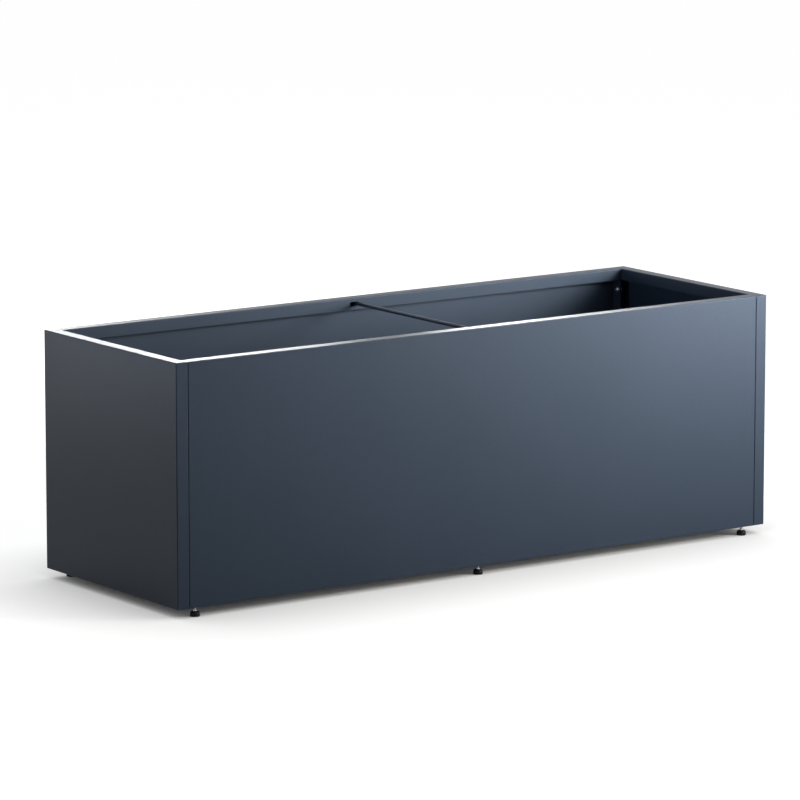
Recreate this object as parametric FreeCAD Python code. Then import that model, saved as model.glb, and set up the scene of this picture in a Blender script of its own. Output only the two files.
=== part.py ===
import FreeCAD, Part
import math
import os

from FreeCAD import Vector

# A rectangular floor planter folded from coated steel sheet, standing on six screw feet.
# Sizes are in millimetres. The origin is on the floor under the middle of the planter.
# X runs along the length, -Y is the front and +Z is up.

# Body
LENGTH = 1500.0
DEPTH = 500.0
BODY_HEIGHT = 500.0
STANCE = 20.0  # floor to the underside of the body
SHEET = 1.5  # thickness of every folded panel
BEND = 0.5  # inside radius of every fold

# Rim, lip and corner joints
RIM_WIDTH = 28.0  # top flange, and the corner wraps, so that the seams run on across the rim
LIP_DEPTH = 25.0
SEAM_GAP = 0.2
FLANGE_CLEARANCE = 0.5  # joint flanges stop this far behind the lips
CORNER_RELIEF = 3.0  # joint folds stop this far short of the top and the underside

# Channel along the bottom edge, with the ledge that carries the floor
CHANNEL_WIDTH = 30.0
CHANNEL_HEIGHT = 30.0
LEDGE_WIDTH = 15.0
LEDGE_CLEARANCE = 1.0

# Corner bolts, washers and weld nuts
BOLTS_PER_SEAM = 3
TOP_BOLT_DROP = 48.0  # below the rim
BOTTOM_BOLT_RISE = 90.0  # above the underside of the body
BOLT_EDGE = 9.0  # from the free edge of the joint flange
BOLT_D = 6.0
BOLT_LENGTH = 12.0
BOLT_HEAD_D = 10.5
BOLT_HEAD_H = 3.3
BOLT_HEAD_RIM = 0.5  # upright edge under the dome of the head
SOCKET_AF = 4.0
SOCKET_DEPTH = 1.8
BOLT_HOLE_CLEARANCE = 0.25
WASHER_D = 12.0
WASHER_T = 1.6
NUT_AF = 10.0
NUT_H = 5.0
THREAD_CLEARANCE = 0.06  # radial, between smooth stand-ins of mating threads

# Tie rod between the lips
ROD_D = 8.0
ROD_OFFSET = 12.5  # from the middle of the length
HOOK_BEND = 8.0  # radius of the rod's middle line
HOOK_LEG = 16.0  # from the rod's axis to the tip of the hook
HOOK_ROUND = 1.5
HOOK_PLAY = 0.6  # from the lip's inner face to the start of the hook's bend
SLOT_CLEARANCE = 0.5

# Screw feet
FEET_PER_SIDE = 3
FOOT_END_INSET = 50.0
PAD_D = 20.0
PAD_EDGE_H = 5.5
PAD_TOP_D = 12.0
PAD_H = 11.0
PAD_CHAMFER = 0.8
PAD_FLOOR = 1.8  # plastic under the toe of the stud
PAD_PLAY = 0.3
PIVOT_CLEARANCE = 0.08
TOE_D = 8.5
TOE_H = 2.0
STUD_D = 6.0
STUD_HEX_AF = 8.0
STUD_HEX_H = 2.5
STUD_THREAD = 30.0
STUD_CHAMFER = 0.8

# Threaded inserts for the studs
INSERT_D = 9.0
INSERT_LENGTH = 15.0
INSERT_FLANGE_D = 13.0
INSERT_FLANGE_T = 1.5
INSERT_BULGE_D = 11.5
INSERT_BULGE_H = 3.0
INSERT_FIT = 0.05

# Floor
BASE_SHEET = 2.0
BASE_CLEARANCE = 2.0
BASE_JOINT_GAP = 1.0
DRAIN_D = 12.0
DRAINS_PER_SHEET = 3
DRAIN_PITCH = 200.0
RAIL_WIDTH = 60.0
RAIL_CLEARANCE = 1.0

# Levels and planes that the pieces share
HALF = SHEET / 2
FOLD = BEND + SHEET  # outside radius of a fold
BOTTOM = STANCE
TOP = STANCE + BODY_HEIGHT
LEDGE_TOP = BOTTOM + CHANNEL_HEIGHT
SEAM_X = LENGTH / 2 - RIM_WIDTH
LONG_END = SEAM_X - SEAM_GAP / 2
WRAP_END = SEAM_X + SEAM_GAP / 2
LIP_Y = DEPTH / 2 - RIM_WIDTH
FLANGE_DEPTH = RIM_WIDTH - SHEET - FLANGE_CLEARANCE
FLANGE_BOTTOM = BOTTOM + CORNER_RELIEF
FLANGE_TOP = TOP - CORNER_RELIEF
BOLT_Y = DEPTH / 2 - FLANGE_DEPTH + BOLT_EDGE
ROD_Z = TOP - LIP_DEPTH / 2
FOOT_Y = DEPTH / 2 - CHANNEL_WIDTH / 2
CHANNEL_INNER_Y = DEPTH / 2 - CHANNEL_WIDTH

ENDS = {"left": -1, "right": 1}
SIDES = {"front": -1, "rear": 1}


def spread(first, last, count):
    """Evenly spaced values from first to last."""
    return [first + (last - first) * i / (count - 1) for i in range(count)]


BOLT_ZS = spread(BOTTOM + BOTTOM_BOLT_RISE, TOP - TOP_BOLT_DROP, BOLTS_PER_SEAM)
FOOT_XS = spread(FOOT_END_INSET - LENGTH / 2, LENGTH / 2 - FOOT_END_INSET, FEET_PER_SIDE)


def box(x0, x1, y0, y1, z0, z1):
    """Block between two opposite corners, given in any order."""
    low = Vector(min(x0, x1), min(y0, y1), min(z0, z1))
    return Part.makeBox(abs(x1 - x0), abs(y1 - y0), abs(z1 - z0), low)


def turned(points):
    """Solid turned about the Z axis from a closed outline of (radius, height) points."""
    corners = [Vector(r, 0, z) for r, z in points]
    outline = Part.makePolygon(corners + corners[:1])
    return Part.Face(outline).revolve(Vector(0, 0, 0), Vector(0, 0, 1), 360)


def hexagon(across_flats, z0, height):
    """Upright hexagonal prism on the Z axis."""
    radius = across_flats / 2 / math.cos(math.pi / 6)
    corners = [
        Vector(radius * math.cos(i * math.pi / 3), radius * math.sin(i * math.pi / 3), z0) for i in range(6)
    ]
    return Part.Face(Part.makePolygon(corners + corners[:1])).extrude(Vector(0, 0, height))


def left_of(start, end):
    """Unit vector to the left of the way from start to end, in the plane of a section."""
    along = (end - start).normalize()
    return Vector(-along.y, along.x)


def sheet_face(path, side, place):
    """Edges of one face of a folded sheet, half a thickness to the left (1) or right (-1) of path.

    The path is the sheet's middle line. Each of its corners is a square fold with inside radius BEND.
    """
    edges = []
    start = path[0] + left_of(path[0], path[1]) * (side * HALF)
    for before, corner, after in zip(path, path[1:], path[2:]):
        along = (corner - before).normalize()
        onward = (after - corner).normalize()
        turn = 1 if left_of(before, corner).dot(onward) > 0 else -1
        centre = corner + (onward - along) * (BEND + HALF)
        radius = BEND + HALF - turn * side * HALF
        first = centre - onward * radius
        crown = centre + (along - onward) * (radius / math.sqrt(2))
        last = centre + along * radius
        edges.append(Part.makeLine(place(start), place(first)))
        edges.append(Part.Arc(place(first), place(crown), place(last)).toShape())
        start = last
    end = path[-1] + left_of(path[-2], path[-1]) * (side * HALF)
    edges.append(Part.makeLine(place(start), place(end)))
    return edges


def folded(path, place, sweep):
    """Solid of a folded sheet: a middle line placed in a plane and swept square to it."""
    left = sheet_face(path, 1, place)
    right = sheet_face(path, -1, place)
    caps = [
        Part.makeLine(left[0].firstVertex().Point, right[0].firstVertex().Point),
        Part.makeLine(left[-1].lastVertex().Point, right[-1].lastVertex().Point),
    ]
    outline = Part.Wire(Part.__sortEdges__(left + right + caps))
    return Part.Face(outline).extrude(sweep)


def wall_path(outside):
    """Middle line across a wall: lip, rim, wall, bottom, channel side and ledge.

    Points are (distance out from the middle of the planter, height), for a wall whose face is at outside.
    """
    lip = outside - RIM_WIDTH + HALF
    wall = outside - HALF
    channel = outside - CHANNEL_WIDTH + HALF
    return [
        Vector(lip, TOP - LIP_DEPTH),
        Vector(lip, TOP - HALF),
        Vector(wall, TOP - HALF),
        Vector(wall, BOTTOM + HALF),
        Vector(channel, BOTTOM + HALF),
        Vector(channel, LEDGE_TOP - HALF),
        Vector(outside - CHANNEL_WIDTH - LEDGE_WIDTH, LEDGE_TOP - HALF),
    ]


def joint_fold(end, side, seam, away):
    """Inward joint flange at a seam, and the square edge that its fold replaces.

    The wall that it is folded from lies on the away side (1 outward, -1 inward) of the seam.
    """
    wall = DEPTH / 2 - HALF
    face = seam + away * HALF
    path = [
        Vector(face + away * 3 * FOLD, wall),
        Vector(face, wall),
        Vector(face, DEPTH / 2 - FLANGE_DEPTH),
    ]
    rise = Vector(0, 0, FLANGE_TOP - FLANGE_BOTTOM)
    flange = folded(path, lambda p: Vector(end * p.x, side * p.y, FLANGE_BOTTOM), rise)
    edge = box(
        end * seam,
        end * (seam + away * FOLD),
        side * (DEPTH / 2 - SHEET),
        side * DEPTH / 2,
        FLANGE_BOTTOM,
        FLANGE_TOP,
    )
    return flange, edge


def bolt_holes(end, side):
    """Drills for the bolts of one corner, through both joint flanges."""
    radius = BOLT_D / 2 + BOLT_HOLE_CLEARANCE
    run = 2 * (SHEET + SEAM_GAP)
    start = SEAM_X - run / 2
    return [
        Part.makeCylinder(radius, run, Vector(end * start, side * BOLT_Y, z), Vector(end, 0, 0)) for z in BOLT_ZS
    ]


def rod_slot(side):
    """Cutter for the long slot in a lip, in which the rod turns and through which its hook passes."""
    radius = ROD_D / 2 + SLOT_CLEARANCE
    far = ROD_OFFSET - HOOK_LEG + HOOK_ROUND
    start = LIP_Y - SHEET
    depth = Vector(0, side * 3 * SHEET, 0)
    ends = [
        Part.makeCylinder(radius, depth.Length, Vector(x, side * start, ROD_Z), depth) for x in (far, ROD_OFFSET)
    ]
    middle = box(far, ROD_OFFSET, side * start, side * (start + depth.Length), ROD_Z - radius, ROD_Z + radius)
    return ends[0].fuse([ends[1], middle]).removeSplitter()


def long_panel(side):
    """Front or rear panel: one folded sheet between the two seams of its face."""
    length = Vector(2 * LONG_END, 0, 0)
    panel = folded(wall_path(DEPTH / 2), lambda p: Vector(-LONG_END, side * p.x, p.y), length)
    cuts = [rod_slot(side)]
    for end in ENDS.values():
        flange, edge = joint_fold(end, side, LONG_END, -1)
        panel = panel.cut(edge).fuse(flange)
        cuts += bolt_holes(end, side)
    for x in FOOT_XS:
        foot = Vector(x, side * FOOT_Y, BOTTOM - SHEET)
        cuts.append(Part.makeCylinder(INSERT_D / 2 + INSERT_FIT, 3 * SHEET, foot))
    # the cross rail drops through this gap and stands on the bottom flange
    gap = RAIL_WIDTH / 2 + RAIL_CLEARANCE
    cuts.append(
        box(
            -gap,
            gap,
            side * (CHANNEL_INNER_Y - LEDGE_WIDTH - SHEET),
            side * (CHANNEL_INNER_Y + FOLD),
            BOTTOM - SHEET,
            LEDGE_TOP + SHEET,
        )
    )
    return panel.cut(cuts).removeSplitter()


def rounded_body(inset):
    """The body as a block with every edge rounded: its outside, or its inside when inset by the sheet."""
    block = box(
        inset - LENGTH / 2,
        LENGTH / 2 - inset,
        inset - DEPTH / 2,
        DEPTH / 2 - inset,
        BOTTOM + inset,
        TOP - inset,
    )
    return block.makeFillet(FOLD - inset, block.Edges)


def end_panel(end, shell):
    """Left or right end panel: end face, rim over the full depth, and wraps round both corners."""
    path = wall_path(LENGTH / 2)
    plain = path[:4] + [Vector(WRAP_END, BOTTOM + HALF)]
    channel_end = CHANNEL_INNER_Y - LEDGE_WIDTH - LEDGE_CLEARANCE
    lip_end = LIP_Y + SHEET
    panel = folded(path, lambda p: Vector(end * p.x, -channel_end, p.y), Vector(0, 2 * channel_end, 0))
    cuts = []
    for side in SIDES.values():
        beside = folded(
            plain,
            lambda p: Vector(end * p.x, side * channel_end, p.y),
            Vector(0, side * (lip_end - channel_end), 0),
        )
        corner = shell.common(
            box(end * WRAP_END, end * LENGTH / 2, side * lip_end, side * DEPTH / 2, BOTTOM, TOP)
        )
        flange, edge = joint_fold(end, side, WRAP_END, 1)
        panel = panel.fuse([beside, corner.cut(edge), flange])
        cuts += bolt_holes(end, side)
    return panel.cut(cuts).removeSplitter()


def along_x(shape, end, x, y, z):
    """Shape made on the Z axis, with its top turned towards the middle of the planter."""
    turn = FreeCAD.Rotation(Vector(0, 1, 0), -90 * end)
    placed = shape.copy()
    placed.Placement = FreeCAD.Placement(Vector(end * x, y, z), turn)
    return placed


def bolt():
    """Button-head bolt, seated at height 0, with a hexagon socket."""
    head = Part.makeCylinder(BOLT_HEAD_D / 2, BOLT_HEAD_H)
    crown = [e for e in head.Edges if e.Closed and e.CenterOfMass.z > BOLT_HEAD_H / 2]
    head = head.makeFillet(BOLT_HEAD_H - BOLT_HEAD_RIM, crown)
    shank = Part.makeCylinder(BOLT_D / 2, BOLT_LENGTH, Vector(0, 0, -BOLT_LENGTH))
    socket = hexagon(SOCKET_AF, BOLT_HEAD_H - SOCKET_DEPTH, 2 * SOCKET_DEPTH)
    return head.fuse(shank).cut(socket)


def washer():
    """Plain washer under the bolt head, from height 0 down."""
    low = Vector(0, 0, -WASHER_T)
    ring = Part.makeCylinder(WASHER_D / 2, WASHER_T, low)
    return ring.cut(Part.makeCylinder(BOLT_D / 2 + BOLT_HOLE_CLEARANCE, WASHER_T, low))


def nut():
    """Weld nut, from height 0 down."""
    bore = Part.makeCylinder(BOLT_D / 2 + THREAD_CLEARANCE, NUT_H, Vector(0, 0, -NUT_H))
    return hexagon(NUT_AF, -NUT_H, NUT_H).cut(bore)


def corner_set(shape, end, side, x):
    """The same small part at each bolt of one corner."""
    return Part.makeCompound([along_x(shape, end, x, side * BOLT_Y, z) for z in BOLT_ZS])


def base_sheet(end):
    """Half of the floor, resting on the ledges, notched round the corner joints and drilled to drain."""
    inner = BASE_JOINT_GAP / 2
    outer = LENGTH / 2 - SHEET - BASE_CLEARANCE
    edge = DEPTH / 2 - SHEET - BASE_CLEARANCE
    top = LEDGE_TOP + BASE_SHEET
    sheet = box(end * inner, end * outer, -edge, edge, LEDGE_TOP, top)
    notch_x = LONG_END - SHEET - BASE_CLEARANCE
    notch_y = DEPTH / 2 - FLANGE_DEPTH - BASE_CLEARANCE
    cuts = [
        box(end * notch_x, end * LENGTH / 2, side * notch_y, side * DEPTH / 2, LEDGE_TOP, top)
        for side in SIDES.values()
    ]
    reach = DRAIN_PITCH * (DRAINS_PER_SHEET - 1) / 2
    for shift in spread(-reach, reach, DRAINS_PER_SHEET):
        drain = Vector(end * (inner + outer) / 2 + shift, 0, LEDGE_TOP)
        cuts.append(Part.makeCylinder(DRAIN_D / 2, BASE_SHEET, drain))
    return sheet.cut(cuts)


def cross_rail():
    """Channel across the middle, open below, that carries the joint of the floor."""
    foot = BOTTOM + SHEET
    wall = RAIL_WIDTH / 2 - HALF
    path = [
        Vector(-wall, foot),
        Vector(-wall, LEDGE_TOP - HALF),
        Vector(wall, LEDGE_TOP - HALF),
        Vector(wall, foot),
    ]
    reach = DEPTH / 2 - FOLD - RAIL_CLEARANCE
    return folded(path, lambda p: Vector(p.x, -reach, p.y), Vector(0, 2 * reach, 0))


def tie_rod():
    """Round bar between the lips, its ends bent down into hooks behind them."""
    straight = LIP_Y + HOOK_PLAY
    leg = straight + HOOK_BEND
    slant = HOOK_BEND / math.sqrt(2)
    tip = ROD_Z - HOOK_LEG
    bend = ROD_Z - HOOK_BEND
    edges = []
    for side in SIDES.values():
        low = Vector(ROD_OFFSET, side * leg, bend)
        crown = Vector(ROD_OFFSET, side * (straight + slant), bend + slant)
        high = Vector(ROD_OFFSET, side * straight, ROD_Z)
        edges.append(Part.makeLine(Vector(ROD_OFFSET, side * leg, tip), low))
        edges.append(Part.Arc(low, crown, high).toShape())
    edges.append(Part.makeLine(Vector(ROD_OFFSET, -straight, ROD_Z), Vector(ROD_OFFSET, straight, ROD_Z)))
    path = Part.Wire(Part.__sortEdges__(edges))
    start = path.OrderedVertexes[0].Point
    section = Part.Wire(Part.makeCircle(ROD_D / 2, start, Vector(0, 0, 1)))
    rod = path.makePipeShell([section], True, False)
    tips = [e for e in rod.Edges if e.BoundBox.ZMax < tip + HOOK_ROUND / 2]
    return rod.makeFillet(HOOK_ROUND, tips)


def pad():
    """Foot pad on the floor, with a socket that holds the toe of the stud."""
    neck = STUD_D / 2 + PIVOT_CLEARANCE
    socket = TOE_D / 2 + PAD_PLAY
    socket_top = PAD_FLOOR + TOE_H + 2 * PAD_PLAY
    return turned(
        [
            (0, 0),
            (PAD_D / 2 - PAD_CHAMFER, 0),
            (PAD_D / 2, PAD_CHAMFER),
            (PAD_D / 2, PAD_EDGE_H),
            (PAD_TOP_D / 2, PAD_H),
            (neck, PAD_H),
            (neck, socket_top),
            (socket, socket_top),
            (socket, PAD_FLOOR),
            (0, PAD_FLOOR),
        ]
    )


def stud():
    """Screw of a foot: toe in the pad, hexagon for a spanner, and smooth stand-in for the thread."""
    toe = PAD_FLOOR + PAD_PLAY
    seat = PAD_H + PAD_PLAY
    top = seat + STUD_HEX_H + STUD_THREAD
    shaft = turned(
        [
            (0, toe),
            (TOE_D / 2, toe),
            (TOE_D / 2, toe + TOE_H),
            (STUD_D / 2, toe + TOE_H),
            (STUD_D / 2, top - STUD_CHAMFER),
            (STUD_D / 2 - STUD_CHAMFER, top),
            (0, top),
        ]
    )
    return shaft.fuse(hexagon(STUD_HEX_AF, seat, STUD_HEX_H))


def insert():
    """Rivet insert in the bottom flange: flange below the sheet, upset collar above it."""
    bore = STUD_D / 2 + THREAD_CLEARANCE
    low = BOTTOM - INSERT_FLANGE_T
    seat = BOTTOM + SHEET
    return turned(
        [
            (bore, low),
            (INSERT_FLANGE_D / 2, low),
            (INSERT_FLANGE_D / 2, BOTTOM),
            (INSERT_D / 2, BOTTOM),
            (INSERT_D / 2, seat),
            (INSERT_BULGE_D / 2, seat),
            (INSERT_D / 2, seat + INSERT_BULGE_H),
            (INSERT_D / 2, low + INSERT_LENGTH),
            (bore, low + INSERT_LENGTH),
        ]
    )


def at(shape, x, y):
    """Copy of a shape made on the Z axis, moved over the floor."""
    placed = shape.copy()
    placed.translate(Vector(x, y, 0))
    return placed


def planter():
    """Every piece of the planter by name."""
    nodes = {"cross_rail": cross_rail(), "tie_rod": tie_rod()}
    shell = rounded_body(0).cut(rounded_body(SHEET))
    for name, end in ENDS.items():
        nodes[f"{name}_end_panel"] = end_panel(end, shell)
        nodes[f"base_sheet_{name}"] = base_sheet(end)
    seat = LONG_END - SHEET - WASHER_T
    nut_seat = WRAP_END + SHEET
    for row, side in SIDES.items():
        nodes[f"{row}_panel"] = long_panel(side)
        for name, end in ENDS.items():
            nodes[f"bolts_{row}_{name}"] = corner_set(bolt(), end, side, seat)
            nodes[f"washers_{row}_{name}"] = corner_set(washer(), end, side, seat)
            nodes[f"nuts_{row}_{name}"] = corner_set(nut(), end, side, nut_seat)
        y = side * FOOT_Y
        nodes[f"foot_inserts_{row}"] = Part.makeCompound([at(insert(), x, y) for x in FOOT_XS])
        for i, x in enumerate(FOOT_XS, 1):
            nodes[f"foot_pad_{row}_{i}"] = at(pad(), x, y)
            nodes[f"foot_stud_{row}_{i}"] = at(stud(), x, y)
    return nodes


os.makedirs("parts", exist_ok=True)
for name, shape in planter().items():
    shape.exportStep(f"parts/{name}.step")
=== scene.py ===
"""Looks of a floor planter folded from powder-coated steel sheet, standing on six screw feet."""

import logging
import math
from dataclasses import dataclass
from enum import Enum

import bpy
import numpy as np
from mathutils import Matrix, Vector


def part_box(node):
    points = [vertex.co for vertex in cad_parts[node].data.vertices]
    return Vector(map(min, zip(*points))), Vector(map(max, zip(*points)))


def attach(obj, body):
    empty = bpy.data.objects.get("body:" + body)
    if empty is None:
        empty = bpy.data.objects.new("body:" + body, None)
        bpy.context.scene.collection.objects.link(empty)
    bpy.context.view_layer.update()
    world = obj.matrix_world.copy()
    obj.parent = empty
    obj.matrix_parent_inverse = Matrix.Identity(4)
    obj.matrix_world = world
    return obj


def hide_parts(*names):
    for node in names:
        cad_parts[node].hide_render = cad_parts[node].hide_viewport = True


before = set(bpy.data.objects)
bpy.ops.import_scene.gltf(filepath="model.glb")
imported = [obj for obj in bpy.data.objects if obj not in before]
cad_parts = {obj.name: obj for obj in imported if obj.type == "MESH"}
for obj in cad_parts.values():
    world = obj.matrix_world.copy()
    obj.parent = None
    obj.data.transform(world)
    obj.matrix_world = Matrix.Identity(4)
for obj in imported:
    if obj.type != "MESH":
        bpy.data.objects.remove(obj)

LOG = logging.getLogger("planter")
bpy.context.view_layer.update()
MM = 0.001


class Slot(Enum):
    """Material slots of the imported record."""

    COATING = "coating"
    ZINC = "zinc"
    PAD = "pad_plastic"


def linear(code: str) -> tuple[float, float, float, float]:
    """Turn an sRGB hex colour into linear light, by the curve of the sRGB standard.

    Args:
        code: colour as "#rrggbb".

    Returns:
        Linear red, green, blue and an alpha of 1.
    """
    srgb = np.array([int(code[i : i + 2], 16) for i in (1, 3, 5)]) / 255.0
    light = np.where(srgb <= 0.04045, srgb / 12.92, ((srgb + 0.055) / 1.055) ** 2.4)
    return (float(light[0]), float(light[1]), float(light[2]), 1.0)


def add_node(
    tree: bpy.types.NodeTree,
    kind: str,
    settings: dict | None = None,
    inputs: dict | None = None,
) -> bpy.types.Node:
    """Add one node with its settings and inputs.

    Args:
        tree: node tree that gets the node.
        kind: Blender's name of the node type.
        settings: attributes to set on the node.
        inputs: values for the node's inputs, or output sockets to link to them.

    Returns:
        The new node.
    """
    node = tree.nodes.new(kind)
    for name, value in (settings or {}).items():
        setattr(node, name, value)
    for name, value in (inputs or {}).items():
        if isinstance(value, bpy.types.NodeSocket):
            tree.links.new(value, node.inputs[name])
        else:
            node.inputs[name].default_value = value
    return node


def new_material(name: str) -> tuple[bpy.types.Material, bpy.types.NodeTree, bpy.types.Node]:
    """Make an empty node material.

    Args:
        name: name of the real material and its process.

    Returns:
        The material, its node tree and its output node.
    """
    material = bpy.data.materials.new(name)
    material.use_nodes = True
    tree = material.node_tree
    tree.nodes.clear()
    return material, tree, tree.nodes.new("ShaderNodeOutputMaterial")


def per_metre(size_mm: float) -> float:
    """Texture scale whose pattern repeats about every size_mm in Object coordinates."""
    return 1.0 / (size_mm * MM)


@dataclass(frozen=True)
class PowderCoat:
    """Satin anthracite powder coat, sprayed dry and cured on galvanised steel sheet.

    The eye gets a dark blue-grey with a wide soft sheen, a fine orange peel in the light's edges, small specks of a
    paler pigment and slow clouds of slightly duller gloss. The real peel is about 1 mm across; it is drawn at
    peel_mm, as coarse as it needs to show.
    """

    tint: str = "#2b3542"
    cloud_tint: str = "#2f3947"
    speck: str = "#3c4856"
    sheen_tint: str = "#e4eeff"
    roughness: float = 0.36
    specular: float = 0.12
    peel_mm: float = 2.2
    peel_strength: float = 0.12
    peel_depth_mm: float = 0.05
    speck_mm: float = 0.7
    speck_from: float = 0.45
    speck_full: float = 0.75
    cloud_mm: float = 260.0
    gloss_swing: float = 0.03

    def material(self) -> bpy.types.Material:
        """Build the coat: specks and clouds in the colour, clouds in the gloss, orange peel in the bump.

        Returns:
            The finished material.
        """
        material, tree, out = new_material("powder_coat_satin_anthracite")
        where = add_node(tree, "ShaderNodeTexCoord").outputs["Object"]
        cloud = add_node(
            tree,
            "ShaderNodeTexNoise",
            None,
            {"Vector": where, "Scale": per_metre(self.cloud_mm), "Detail": 2.0},
        )
        ground = add_node(
            tree,
            "ShaderNodeMix",
            {"data_type": "RGBA"},
            {"Factor": cloud.outputs["Fac"], "A": linear(self.tint), "B": linear(self.cloud_tint)},
        )
        speck = add_node(
            tree,
            "ShaderNodeTexNoise",
            None,
            {"Vector": where, "Scale": per_metre(self.speck_mm), "Detail": 1.0},
        )
        speck_share = add_node(
            tree,
            "ShaderNodeMapRange",
            None,
            {"Value": speck.outputs["Fac"], "From Min": self.speck_from, "From Max": self.speck_full},
        )
        colour = add_node(
            tree,
            "ShaderNodeMix",
            {"data_type": "RGBA"},
            {
                "Factor": speck_share.outputs["Result"],
                "A": ground.outputs["Result"],
                "B": linear(self.speck),
            },
        )
        gloss = add_node(
            tree,
            "ShaderNodeMapRange",
            None,
            {
                "Value": cloud.outputs["Fac"],
                "To Min": self.roughness - self.gloss_swing,
                "To Max": self.roughness + self.gloss_swing,
            },
        )
        peel = add_node(
            tree,
            "ShaderNodeTexNoise",
            None,
            {"Vector": where, "Scale": per_metre(self.peel_mm), "Detail": 2.0, "Roughness": 0.4},
        )
        bump = add_node(
            tree,
            "ShaderNodeBump",
            None,
            {"Height": peel.outputs["Fac"], "Strength": self.peel_strength, "Distance": self.peel_depth_mm * MM},
        )
        coat = add_node(
            tree,
            "ShaderNodeBsdfPrincipled",
            None,
            {
                "Base Color": colour.outputs["Result"],
                "Roughness": gloss.outputs["Result"],
                "Specular IOR Level": self.specular,
                "Specular Tint": linear(self.sheen_tint),
                "Normal": bump.outputs["Normal"],
            },
        )
        tree.links.new(coat.outputs["BSDF"], out.inputs["Surface"])
        return material


@dataclass(frozen=True)
class ZincPlate:
    """Bright zinc electroplate on headed and rolled steel.

    The eye gets a pale bluish metal with dull stains a few millimetres across and fine drawing marks between them.
    """

    tint: str = "#bfc4cb"
    stain: str = "#8d939b"
    roughness: float = 0.4
    brighter: float = 0.08
    duller: float = 0.12
    stain_mm: float = 3.0
    mark_mm: float = 0.35
    mark_strength: float = 0.15
    mark_depth_mm: float = 0.02

    def material(self) -> bpy.types.Material:
        """Build the plating: stains in the colour and the gloss, drawing marks in the bump.

        Returns:
            The finished material.
        """
        material, tree, out = new_material("zinc_electroplate_bright")
        where = add_node(tree, "ShaderNodeTexCoord").outputs["Object"]
        stain = add_node(
            tree,
            "ShaderNodeTexNoise",
            None,
            {"Vector": where, "Scale": per_metre(self.stain_mm), "Detail": 3.0},
        )
        colour = add_node(
            tree,
            "ShaderNodeMix",
            {"data_type": "RGBA"},
            {"Factor": stain.outputs["Fac"], "A": linear(self.tint), "B": linear(self.stain)},
        )
        gloss = add_node(
            tree,
            "ShaderNodeMapRange",
            None,
            {
                "Value": stain.outputs["Fac"],
                "To Min": self.roughness - self.brighter,
                "To Max": self.roughness + self.duller,
            },
        )
        mark = add_node(
            tree,
            "ShaderNodeTexNoise",
            None,
            {"Vector": where, "Scale": per_metre(self.mark_mm), "Detail": 1.0},
        )
        bump = add_node(
            tree,
            "ShaderNodeBump",
            None,
            {"Height": mark.outputs["Fac"], "Strength": self.mark_strength, "Distance": self.mark_depth_mm * MM},
        )
        plate = add_node(
            tree,
            "ShaderNodeBsdfPrincipled",
            None,
            {
                "Base Color": colour.outputs["Result"],
                "Metallic": 1.0,
                "Roughness": gloss.outputs["Result"],
                "Normal": bump.outputs["Normal"],
            },
        )
        tree.links.new(plate.outputs["BSDF"], out.inputs["Surface"])
        return material


@dataclass(frozen=True)
class MouldedNylon:
    """Black polyamide, injection moulded.

    The eye gets a matt black with the fine spark-eroded grain of the mould and faint grey scuffs.
    """

    tint: str = "#060607"
    scuff: str = "#101012"
    roughness: float = 0.55
    gloss_swing: float = 0.06
    specular: float = 0.15
    grain_mm: float = 0.5
    grain_strength: float = 0.3
    grain_depth_mm: float = 0.05
    scuff_mm: float = 6.0

    def material(self) -> bpy.types.Material:
        """Build the plastic: mould grain in the bump, scuffs in the colour and the gloss.

        Returns:
            The finished material.
        """
        material, tree, out = new_material("polyamide_black_moulded")
        where = add_node(tree, "ShaderNodeTexCoord").outputs["Object"]
        scuff = add_node(
            tree,
            "ShaderNodeTexNoise",
            None,
            {"Vector": where, "Scale": per_metre(self.scuff_mm), "Detail": 4.0},
        )
        colour = add_node(
            tree,
            "ShaderNodeMix",
            {"data_type": "RGBA"},
            {"Factor": scuff.outputs["Fac"], "A": linear(self.tint), "B": linear(self.scuff)},
        )
        gloss = add_node(
            tree,
            "ShaderNodeMapRange",
            None,
            {
                "Value": scuff.outputs["Fac"],
                "To Min": self.roughness - self.gloss_swing,
                "To Max": self.roughness + self.gloss_swing,
            },
        )
        grain = add_node(
            tree,
            "ShaderNodeTexNoise",
            None,
            {"Vector": where, "Scale": per_metre(self.grain_mm), "Detail": 2.0},
        )
        bump = add_node(
            tree,
            "ShaderNodeBump",
            None,
            {"Height": grain.outputs["Fac"], "Strength": self.grain_strength, "Distance": self.grain_depth_mm * MM},
        )
        plastic = add_node(
            tree,
            "ShaderNodeBsdfPrincipled",
            None,
            {
                "Base Color": colour.outputs["Result"],
                "Roughness": gloss.outputs["Result"],
                "Specular IOR Level": self.specular,
                "Normal": bump.outputs["Normal"],
            },
        )
        tree.links.new(plastic.outputs["BSDF"], out.inputs["Surface"])
        return material


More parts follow.
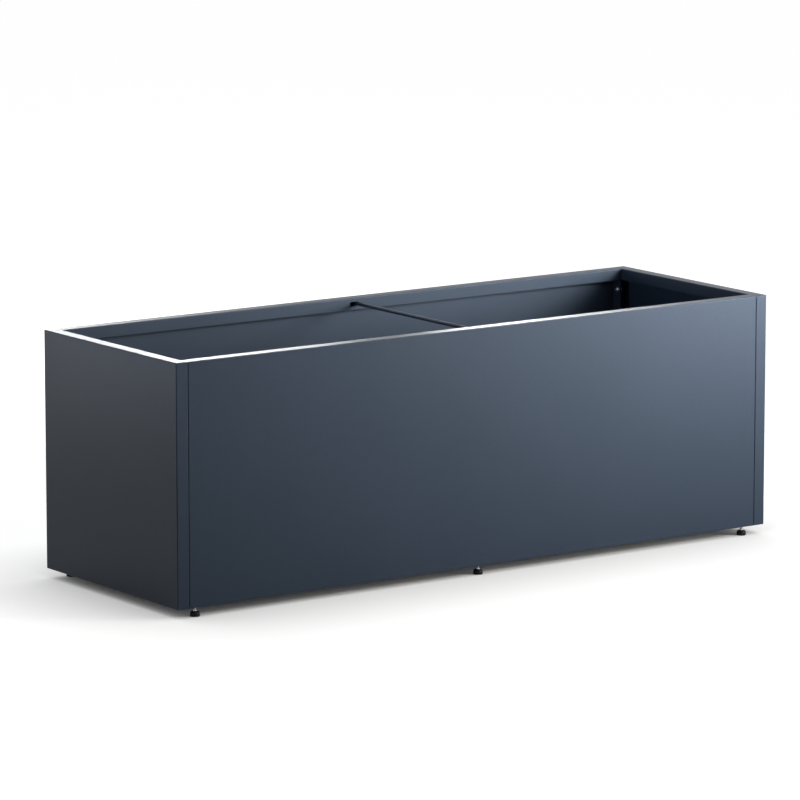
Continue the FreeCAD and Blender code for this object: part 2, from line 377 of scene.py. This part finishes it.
def ring_mesh(
    name: str,
    radius: np.ndarray,
    height: np.ndarray,
    flat: np.ndarray,
    axis: Vector,
) -> bpy.types.Mesh:
    """Closed surface of rings about an upright axis.

    Point (i, j) stands at height[i] and radius[i, j] in the direction j * 360 / columns degrees. Quads join each ring
    to the next, and the first and the last ring are closed by flat caps. Rings that run outwards below, up and then
    inwards above give faces that point outwards.

    Args:
        name: name of the mesh.
        radius: radii in millimetres, one row for each ring.
        height: heights in millimetres, one for each ring.
        flat: for each band between two rings, true where its faces are flat shaded.
        axis: point on the axis, in metres.

    Returns:
        The mesh.
    """
    rings, columns = radius.shape
    turn = np.arange(columns) * (2.0 * np.pi / columns)
    points = np.empty((rings, columns, 3))
    points[..., 0] = axis.x + MM * radius * np.cos(turn)
    points[..., 1] = axis.y + MM * radius * np.sin(turn)
    points[..., 2] = MM * height[:, None]
    ring, column = np.meshgrid(np.arange(rings - 1), np.arange(columns), indexing="ij")
    onward = (column + 1) % columns
    quads = np.stack(
        [
            ring * columns + column,
            ring * columns + onward,
            (ring + 1) * columns + onward,
            (ring + 1) * columns + column,
        ],
        axis=-1,
    ).reshape(-1, 4)
    caps = [np.arange(columns)[::-1].tolist(), (np.arange(columns) + (rings - 1) * columns).tolist()]
    mesh = bpy.data.meshes.new(name)
    mesh.from_pydata(points.reshape(-1, 3).tolist(), [], quads.tolist() + caps)
    smooth = np.append(np.repeat(~flat, columns), [False, False])
    mesh.polygons.foreach_set("use_smooth", smooth)
    mesh.update()
    return mesh


class SubAssembly:
    """A group of the planter's pieces that are made and finished together."""

    def dress(self, node: str, material: bpy.types.Material) -> None:
        """Give a CAD node its finish.

        Args:
            node: name of the node.
            material: finish for the whole node.
        """
        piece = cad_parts[node]
        if not piece.material_slots:
            piece.data.materials.append(material)
        for slot in piece.material_slots:
            slot.material = material
        LOG.info("%s: %s", node, material.name)

    def stand_in(
        self,
        mesh: bpy.types.Mesh,
        node: str,
        body: str,
        slot: Slot,
        material: bpy.types.Material,
    ) -> None:
        """Show a new piece in the place of a CAD node.

        Args:
            mesh: the new piece's mesh, in the planter's frame.
            node: CAD node that it stands for.
            body: body that it rides on.
            slot: record's slot of its finish; not used.
            material: its finish.
        """
        mesh.materials.append(material)
        piece = bpy.data.objects.new(mesh.name, mesh)
        bpy.context.scene.collection.objects.link(piece)
        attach(piece, body)
        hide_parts(node)
        LOG.info("%s: %s, in place of %s", piece.name, material.name, node)


@dataclass
class FoldedShell(SubAssembly):
    """The four folded panels with their rim, lips and corner wraps."""

    panels: tuple[str, ...] = ("front_panel", "rear_panel", "left_end_panel", "right_end_panel")

    def build(self, coat: bpy.types.Material) -> None:
        """Dress the panels.

        Args:
            coat: powder coat.
        """
        for panel in self.panels:
            self.dress(panel, coat)


@dataclass
class DrainedFloor(SubAssembly):
    """The two base sheets with their drain holes, and the rail under their joint."""

    sheets: tuple[str, ...] = ("base_sheet_left", "base_sheet_right")
    rail: str = "cross_rail"

    def build(self, coat: bpy.types.Material) -> None:
        """Dress the sheets and the rail.

        Args:
            coat: powder coat.
        """
        for node in (*self.sheets, self.rail):
            self.dress(node, coat)


@dataclass
class TieRod(SubAssembly):
    """The hooked bar that holds the long sides together."""

    bar: str = "tie_rod"

    def build(self, coat: bpy.types.Material) -> None:
        """Dress the bar.

        Args:
            coat: powder coat.
        """
        self.dress(self.bar, coat)


@dataclass
class CornerJoints(SubAssembly):
    """Button-head bolts, washers and weld nuts in the four inner corners."""

    kinds: tuple[str, ...] = ("bolts", "washers", "nuts")
    corners: tuple[str, ...] = ("front_left", "front_right", "rear_left", "rear_right")

    def build(self, zinc: bpy.types.Material) -> None:
        """Dress the fasteners.

        Args:
            zinc: zinc plating.
        """
        for kind in self.kinds:
            for corner in self.corners:
                self.dress(f"{kind}_{corner}", zinc)


@dataclass
class ScrewFeet(SubAssembly):
    """Six levelling feet: a domed plastic pad, a threaded stud that turns in it, and the insert that takes the stud.

    Sizes are in millimetres, with heights above the floor at rest.
    """

    rows: tuple[str, ...] = ("front", "rear")
    feet_per_row: int = 3
    columns: int = 48
    bevel_rings: int = 6
    dome_rings: int = 14
    chamfer_rings: int = 5
    pad_radius: float = 10.0
    pad_bevel: float = 0.8
    pad_edge: float = 5.5
    pad_top_radius: float = 6.0
    pad_top: float = 11.0
    bore_radius: float = 3.08
    bore_bevel: float = 0.3
    socket_radius: float = 4.55
    socket_low: float = 1.8
    socket_high: float = 4.4
    toe_radius: float = 4.25
    toe_low: float = 2.1
    toe_high: float = 4.1
    toe_bevel: float = 0.25
    seat: float = 11.3
    hexagon_flats: float = 8.0
    hexagon_top: float = 13.8
    chamfer_height: float = 0.5
    chamfer_start: float = 3.8
    chamfer_angle: float = 60.0
    thread_radius: float = 3.0
    thread_depth: float = 0.6
    thread_pitch: float = 1.0
    thread_rings: int = 12
    thread_crest: float = 0.125
    thread_flank: float = 0.625
    stud_top: float = 43.8
    tip_chamfer: float = 0.8

    def pad_rings(self) -> tuple[np.ndarray, np.ndarray]:
        """Profile of the pad: bevelled foot, upright edge, quarter-ellipse dome, flat crown, bore and toe's socket.

        On the dome, radius = top + (edge - top) cos a and height = edge + rise sin a, for a from 0 to 90 degrees.

        Returns:
            Radii with one column for each direction, and heights.
        """
        low = np.linspace(-np.pi / 2, 0.0, self.bevel_rings)
        dome = np.linspace(0.0, np.pi / 2, self.dome_rings)
        radius = np.concatenate(
            [
                self.pad_radius - self.pad_bevel + self.pad_bevel * np.cos(low),
                self.pad_top_radius + (self.pad_radius - self.pad_top_radius) * np.cos(dome),
                [self.bore_radius + self.bore_bevel, self.bore_radius, self.bore_radius],
                [self.socket_radius, self.socket_radius],
            ]
        )
        height = np.concatenate(
            [
                self.pad_bevel + self.pad_bevel * np.sin(low),
                self.pad_edge + (self.pad_top - self.pad_edge) * np.sin(dome),
                [self.pad_top, self.pad_top - self.bore_bevel, self.socket_high],
                [self.socket_high, self.socket_low],
            ]
        )
        return np.repeat(radius[:, None], self.columns, axis=1), height

    def hexagon_rings(self) -> tuple[np.ndarray, np.ndarray]:
        """Spanner hexagon with chamfered corners.

        In direction t its flats stand at radius flats / 2 / cos(t mod 60 - 30) degrees, cut at both ends by a cone
        that starts inside the flats and widens at chamfer_angle to the axis.

        Returns:
            Radii with one column for each direction, and heights.
        """
        turn = np.degrees(np.arange(self.columns) * (2.0 * np.pi / self.columns))
        flats = self.hexagon_flats / 2 / np.cos(np.radians(turn % 60.0 - 30.0))
        ends = np.linspace(0.0, self.chamfer_height, self.chamfer_rings)
        height = np.concatenate([self.seat + ends, self.hexagon_top - ends[::-1]])
        inset = np.minimum(height - self.seat, self.hexagon_top - height)
        cone = self.chamfer_start + inset * math.tan(math.radians(self.chamfer_angle))
        return np.minimum(flats[None, :], cone[:, None]), height

    def thread_rings_up(self) -> tuple[np.ndarray, np.ndarray]:
        """Right-hand screw thread above the hexagon.

        With s = height / pitch - turn / 360 and w = |2 (s mod 1) - 1|, the groove is (w - crest) / flank deep, held
        between 0 and 1: a flat crest an eighth of the pitch wide, flanks at 60 degrees and a flat root. The groove
        grows over the first pitch, and a 45 degree chamfer cuts the tip.

        Returns:
            Radii with one column for each direction, and heights.
        """
        turns = np.arange(self.columns) / self.columns
        count = int((self.stud_top - self.hexagon_top) / self.thread_pitch * self.thread_rings) + 1
        height = np.linspace(self.hexagon_top, self.stud_top, count)
        phase = height[:, None] / self.thread_pitch - turns[None, :]
        wave = np.abs(2.0 * (phase % 1.0) - 1.0)
        groove = np.clip((wave - self.thread_crest) / self.thread_flank, 0.0, 1.0)
        start = np.clip((height - self.hexagon_top) / self.thread_pitch, 0.0, 1.0)
        radius = self.thread_radius - self.thread_depth * start[:, None] * groove
        tip = self.thread_radius - np.clip(height - self.stud_top + self.tip_chamfer, 0.0, None)
        return np.minimum(radius, tip[:, None]), height

    def stud_rings(self) -> tuple[np.ndarray, np.ndarray, np.ndarray]:
        """Whole stud from its toe in the pad to its tip: toe, plain neck, hexagon and thread.

        Returns:
            Radii with one column for each direction, heights, and the bands that are flat shaded.
        """
        toe = self.toe_radius - self.toe_bevel * np.array([1.0, 0.0, 0.0, 1.0])
        plain = np.concatenate([toe, [self.thread_radius, self.thread_radius]])
        plain_height = np.array(
            [
                self.toe_low,
                self.toe_low + self.toe_bevel,
                self.toe_high - self.toe_bevel,
                self.toe_high,
                self.toe_high,
                self.seat,
            ]
        )
        hexagon, hexagon_height = self.hexagon_rings()
        thread, thread_height = self.thread_rings_up()
        radius = np.concatenate([np.repeat(plain[:, None], self.columns, axis=1), hexagon, thread])
        height = np.concatenate([plain_height, hexagon_height, thread_height])
        flat = np.zeros(len(height) - 1, bool)
        flat[len(plain) - 1 : len(plain) + len(hexagon)] = True
        return radius, height, flat

    def build(self, nylon: bpy.types.Material, zinc: bpy.types.Material) -> None:
        """Make the pads and studs where the CAD has them, and dress the inserts.

        Args:
            nylon: finish of the pads.
            zinc: finish of the studs and inserts.
        """
        pad_radius, pad_height = self.pad_rings()
        pad_flat = np.zeros(len(pad_height) - 1, bool)
        stud_radius, stud_height, stud_flat = self.stud_rings()
        for row in self.rows:
            self.dress(f"foot_inserts_{row}", zinc)
            for place in range(1, self.feet_per_row + 1):
                tag = f"{row}_{place}"
                low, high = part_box(f"foot_pad_{tag}")
                axis = (low + high) / 2
                pad = ring_mesh(f"domed_pad_{tag}", pad_radius, pad_height, pad_flat, axis)
                self.stand_in(pad, f"foot_pad_{tag}", f"pad_{tag}", Slot.PAD, nylon)
                stud = ring_mesh(f"threaded_stud_{tag}", stud_radius, stud_height, stud_flat, axis)
                self.stand_in(stud, f"foot_stud_{tag}", f"stud_{tag}", Slot.ZINC, zinc)


@dataclass
class PhotoCamera:
    """Camera that looks at the planter as the photograph does.

    The angles follow the frame's views: azimuth 0 looks along +Y, elevation is above the horizon.
    """

    azimuth: float = -35.2
    elevation: float = 10.15
    distance: float = 11.015
    lens: float = 236.4
    sensor: float = 36.0
    far_clip: float = 200.0
    target: tuple[float, float, float] = (-0.0323, 0.0, 0.3358)

    def build(self) -> None:
        """Place the camera and make it the scene's."""
        az = math.radians(self.azimuth)
        el = math.radians(self.elevation)
        back = Vector((math.sin(az) * math.cos(el), -math.cos(az) * math.cos(el), math.sin(el)))
        data = bpy.data.cameras.new("photo_camera")
        data.lens = self.lens
        data.sensor_width = self.sensor
        data.sensor_fit = "HORIZONTAL"
        data.clip_end = self.far_clip
        camera = bpy.data.objects.new("photo_camera", data)
        camera.location = Vector(self.target) + back * self.distance
        camera.rotation_euler = back.to_track_quat("Z", "Y").to_euler()
        bpy.context.scene.collection.objects.link(camera)
        bpy.context.scene.camera = camera


@dataclass(frozen=True)
class Softbox:
    """One soft rectangular studio lamp.

    A honeycomb grid narrows its beam to so many degrees, and glow is the colour of its light.
    """

    name: str
    place: tuple[float, float, float]
    aim: tuple[float, float, float]
    size: tuple[float, float]
    watts: float
    beam: float = 180.0
    glow: str = "#ffffff"

    def build(self) -> None:
        """Hang the lamp and turn it to its aim."""
        data = bpy.data.lights.new(self.name, "AREA")
        data.shape = "RECTANGLE"
        data.size, data.size_y = self.size
        data.energy = self.watts
        data.color = linear(self.glow)[:3]
        data.spread = math.radians(self.beam)
        lamp = bpy.data.objects.new(self.name, data)
        lamp.location = self.place
        away = Vector(self.place) - Vector(self.aim)
        lamp.rotation_euler = away.to_track_quat("Z", "Y").to_euler()
        lamp.visible_camera = False
        bpy.context.scene.collection.objects.link(lamp)


@dataclass
class Studio:
    """White floor, white surround and soft lamps."""

    floor_half: float = 60.0
    floor_tint: str = "#b3b3b3"
    floor_glow: float = 0.955
    contact_reach: float = 0.34
    contact_samples: int = 8
    ambient: float = 0.07
    lamps: tuple[Softbox, ...] = (
        Softbox("key_low_right", (2.3, -2.0, 0.45), (0.5, -0.25, 0.4), (1.2, 0.8), 41.0),
        Softbox("key_high_right", (1.75, -1.7, 1.2), (0.4, 0.1, 1.45), (1.2, 0.6), 46.5, 80.0, "#fff6ec"),
        Softbox("key_edge_right", (1.6, -1.3, 0.75), (0.72, -0.25, 0.62), (0.3, 0.3), 3.0, 60.0),
        Softbox("fill_front", (2.0, -3.2, 0.8), (0.0, -0.25, 1.5), (1.4, 1.2), 1.5, 60.0),
        Softbox("side_left_behind", (-1.9, 1.6, 0.35), (-0.75, 0.0, 1.0), (0.8, 0.6), 0.5, 60.0),
        Softbox("high_left", (-2.2, -0.4, 0.75), (0.0, -0.1, 1.45), (1.2, 0.5), 6.8, 60.0, "#e0eaff"),
        Softbox("rim_behind_left", (0.1092, 1.514, 0.99), (-0.4672, 0.6969, 0.99), (1.235, 0.22), 2.65, 36.5),
        Softbox("rim_behind_right", (1.1784, 0.7598, 0.99), (0.602, -0.0573, 0.99), (0.85, 0.22), 6.6, 37.5),
        Softbox("high_front", (1.6, -3.2, 2.6), (0.0, 0.1, 0.4), (2.0, 1.4), 24.0),
        Softbox("back", (0.3, 3.4, 1.0), (0.1, 0.25, 0.35), (1.6, 1.2), 72.0),
        Softbox("inside", (0.0, 0.0, 1.5), (0.0, 0.0, 0.0), (1.3, 0.1), 0.57, 22.0),
    )

    @staticmethod
    def seen(tree: bpy.types.NodeTree, unseen: float, seen: float) -> bpy.types.NodeSocket:
        """Strength that differs between what is looked at and what only lights the scene.

        Args:
            tree: node tree that gets the nodes.
            unseen: strength for rays that carry light on to a matt surface.
            seen: strength for rays from the camera, from reflections and through clear pieces.

        Returns:
            Socket with the strength.
        """
        path = add_node(tree, "ShaderNodeLightPath").outputs
        direct = add_node(
            tree,
            "ShaderNodeMath",
            {"operation": "MAXIMUM"},
            {0: path["Is Camera Ray"], 1: path["Is Glossy Ray"]},
        )
        through = add_node(
            tree,
            "ShaderNodeMath",
            {"operation": "MAXIMUM"},
            {0: direct.outputs["Value"], 1: path["Is Transmission Ray"]},
        )
        strength = add_node(
            tree,
            "ShaderNodeMapRange",
            None,
            {"Value": through.outputs["Value"], "To Min": unseen, "To Max": seen},
        )
        return strength.outputs["Result"]

    def floor(self) -> None:
        """Lay the floor: one large flat square of paper that is white to the camera and in reflections.

        The paper's glow is dimmed by ambient occlusion where something stands close above it: a painted contact
        shadow around the planter, on top of the real shadow in the paper's lamp light.
        """
        reach = self.floor_half
        mesh = bpy.data.meshes.new("studio_floor")
        mesh.from_pydata(
            [(-reach, -reach, 0.0), (reach, -reach, 0.0), (reach, reach, 0.0), (-reach, reach, 0.0)],
            [],
            [(0, 1, 2, 3)],
        )
        material, tree, out = new_material("studio_paper_white")
        paper = add_node(
            tree,
            "ShaderNodeBsdfDiffuse",
            None,
            {"Color": linear(self.floor_tint), "Roughness": 1.0},
        )
        # painted shadow: ambient occlusion darkens the floor's glow close to the planter
        near = add_node(
            tree,
            "ShaderNodeAmbientOcclusion",
            {"samples": self.contact_samples},
            {"Distance": self.contact_reach},
        )
        glow = add_node(
            tree,
            "ShaderNodeEmission",
            None,
            {"Color": near.outputs["Color"], "Strength": self.seen(tree, 0.0, self.floor_glow)},
        )
        both = add_node(
            tree,
            "ShaderNodeAddShader",
            None,
            {0: paper.outputs["BSDF"], 1: glow.outputs["Emission"]},
        )
        tree.links.new(both.outputs["Shader"], out.inputs["Surface"])
        mesh.materials.append(material)
        floor = bpy.data.objects.new("studio_floor", mesh)
        bpy.context.scene.collection.objects.link(floor)

    def surround(self) -> None:
        """White world to the camera and to reflections, plain ambient light to everything else."""
        world = bpy.data.worlds.new("studio_surround")
        world.use_nodes = True
        tree = world.node_tree
        tree.nodes.clear()
        light = add_node(
            tree,
            "ShaderNodeBackground",
            None,
            {"Color": (1.0, 1.0, 1.0, 1.0), "Strength": self.seen(tree, self.ambient, 1.0)},
        )
        add_node(tree, "ShaderNodeOutputWorld", None, {"Surface": light.outputs["Background"]})
        bpy.context.scene.world = world

    def build(self) -> None:
        """Set up the floor, the surround and the lamps."""
        self.floor()
        self.surround()
        for lamp in self.lamps:
            lamp.build()
            LOG.info("lamp: %s", lamp.name)


def main() -> None:
    """Make and dress the planter's pieces, then set up the studio."""
    logging.basicConfig(level=logging.INFO, format="%(message)s")
    bpy.context.scene.view_settings.view_transform = "Standard"
    coat = PowderCoat().material()
    zinc = ZincPlate().material()
    nylon = MouldedNylon().material()
    FoldedShell().build(coat)
    DrainedFloor().build(coat)
    TieRod().build(coat)
    CornerJoints().build(zinc)
    ScrewFeet().build(nylon, zinc)
    Studio().build()
    PhotoCamera().build()


if __name__ == "__main__":
    main()
